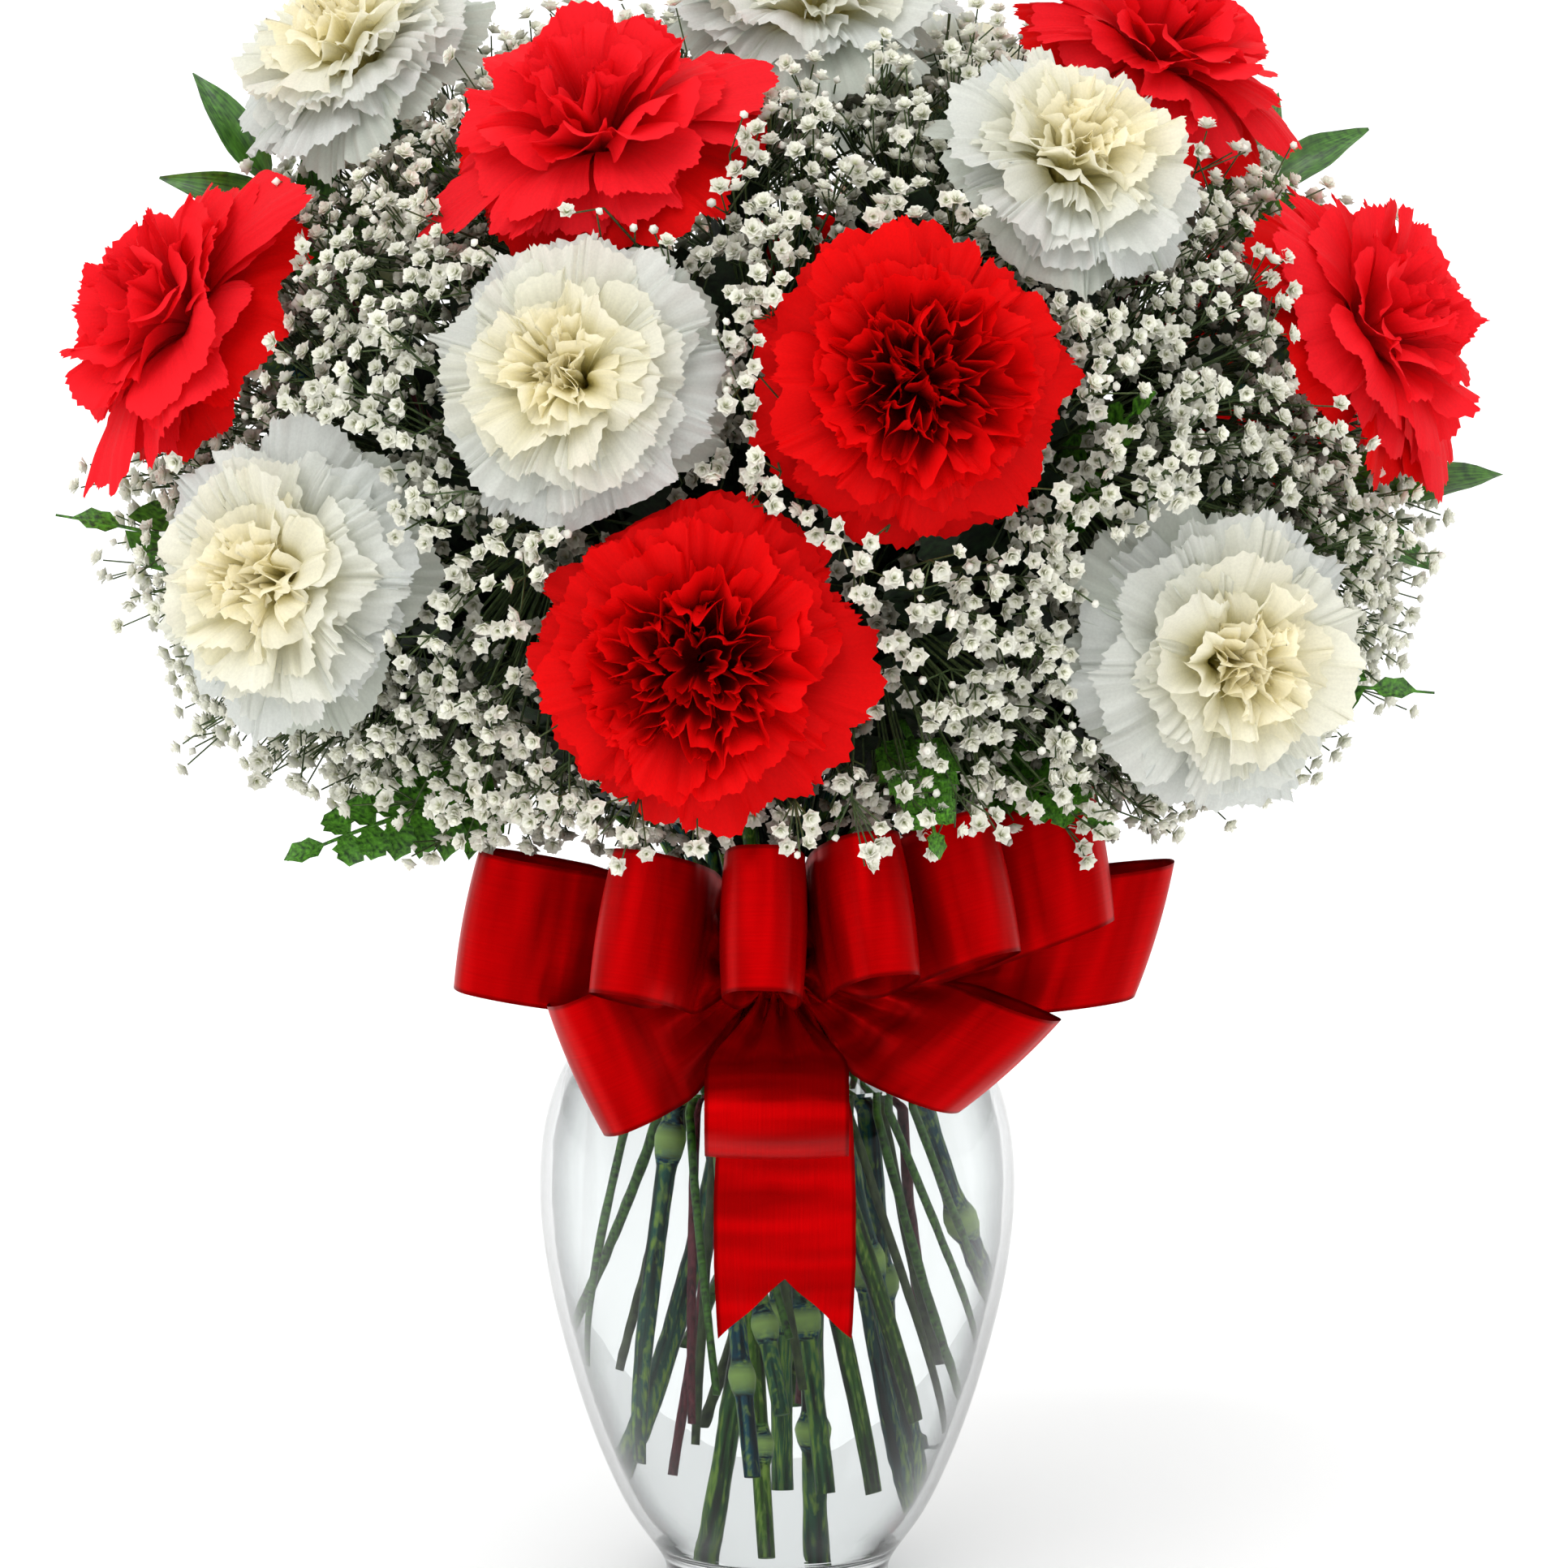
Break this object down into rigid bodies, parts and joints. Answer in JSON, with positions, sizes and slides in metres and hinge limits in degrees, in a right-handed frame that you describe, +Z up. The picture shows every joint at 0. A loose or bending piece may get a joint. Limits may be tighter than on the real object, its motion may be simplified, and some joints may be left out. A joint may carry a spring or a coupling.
{
  "type": "carnations in a vase",
  "caption": "Round bouquet of red and white carnations with baby's breath and fern, standing in a clear glass vase of water tied with a satin ribbon bow.",
  "frame": {"origin": "middle of the vase's foot, on the surface that it stands on", "axes": "+Z up along the vase's axis, -Y toward the bow at the front, +X to the right seen from the front"},
  "size_m": [0.3723, 0.2982, 0.442],
  "materials": {
    "clear_glass": "clear polished soda-lime glass",
    "water": "clear still water",
    "satin_ribbon": "red satin with a woven edge",
    "white_petals": "matt cream-white petals",
    "red_petals": "matt scarlet petals",
    "stem_green": "waxy grey-green stem",
    "fern_green": "leathery dark green",
    "leaf_green": "glossy dark green leaf",
    "gypsophila_white": "matt white florets"
  },
  "bodies": {
    "root": {"vase": "clear_glass", "neck_tie": "satin_ribbon", "bow": "satin_ribbon", "stem_white_1": "stem_green", "stem_white_2": "stem_green", "stem_white_3": "stem_green", "stem_white_4": "stem_green", "stem_white_5": "stem_green", "stem_white_6": "stem_green", "stem_white_7": "stem_green", "stem_white_8": "stem_green", "stem_red_1": "stem_green", "stem_red_2": "stem_green", "stem_red_3": "stem_green", "stem_red_4": "stem_green", "stem_red_5": "stem_green", "stem_red_6": "stem_green", "stem_red_7": "stem_green", "stem_red_8": "stem_green", "carnation_white_1": "white_petals", "carnation_white_2": "white_petals", "carnation_white_3": "white_petals", "carnation_white_4": "white_petals", "carnation_white_5": "white_petals", "carnation_white_6": "white_petals", "carnation_white_7": "white_petals", "carnation_white_8": "white_petals", "carnation_red_1": "red_petals", "carnation_red_2": "red_petals", "carnation_red_3": "red_petals", "carnation_red_4": "red_petals", "carnation_red_5": "red_petals", "carnation_red_6": "red_petals", "carnation_red_7": "red_petals", "carnation_red_8": "red_petals", "fern_1": "fern_green", "fern_2": "fern_green", "fern_3": "fern_green", "fern_4": "fern_green", "fern_5": "fern_green", "fern_6": "fern_green", "fern_7": "fern_green", "fern_8": "fern_green", "fern_9": "fern_green", "leaf_sprig_1": "leaf_green", "leaf_sprig_2": "leaf_green", "leaf_sprig_3": "leaf_green", "leaf_sprig_4": "leaf_green", "gypsophila_1": "gypsophila_white", "gypsophila_2": "gypsophila_white", "gypsophila_3": "gypsophila_white", "gypsophila_4": "gypsophila_white", "gypsophila_5": "gypsophila_white", "gypsophila_6": "gypsophila_white", "water": "water"}
  },
  "joints": []
}
